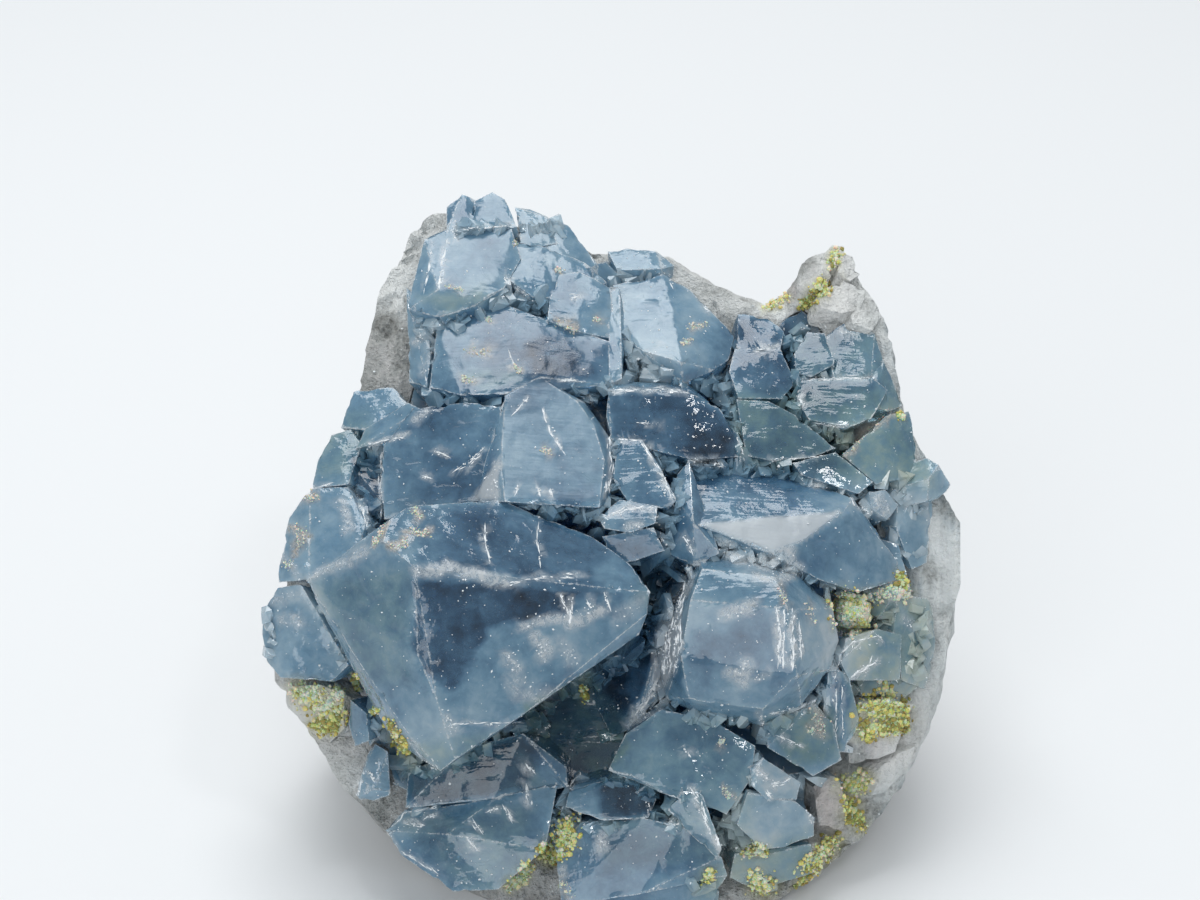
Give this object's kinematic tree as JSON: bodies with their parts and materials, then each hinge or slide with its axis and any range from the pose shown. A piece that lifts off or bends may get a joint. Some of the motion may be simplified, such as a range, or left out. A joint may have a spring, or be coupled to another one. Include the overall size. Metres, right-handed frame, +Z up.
{
  "type": "celestite crystal cluster",
  "caption": "Fragment of a geode wall with large pale blue, clear to milky celestite crystals grown on a thin grey rind, standing on the rind with the crystal face leaning back.",
  "frame": {"origin": "on the floor, under the middle of the object's box", "axes": "+Z up, +X to the viewer's right along the width of the crystal face, -Y towards the viewer who looks at that face"},
  "size_m": [0.0738, 0.0596, 0.0597],
  "materials": {
    "rind": "rough grey to beige stone with a crumbly yellow-green crust in patches",
    "crystal": "glassy pale blue crystal, clear to milky, with veils, striations and chipped edges"
  },
  "bodies": {
    "root": {"geode_rind": "rind", "celestite_cluster": "crystal", "stub_crystal": "crystal"}
  },
  "joints": []
}
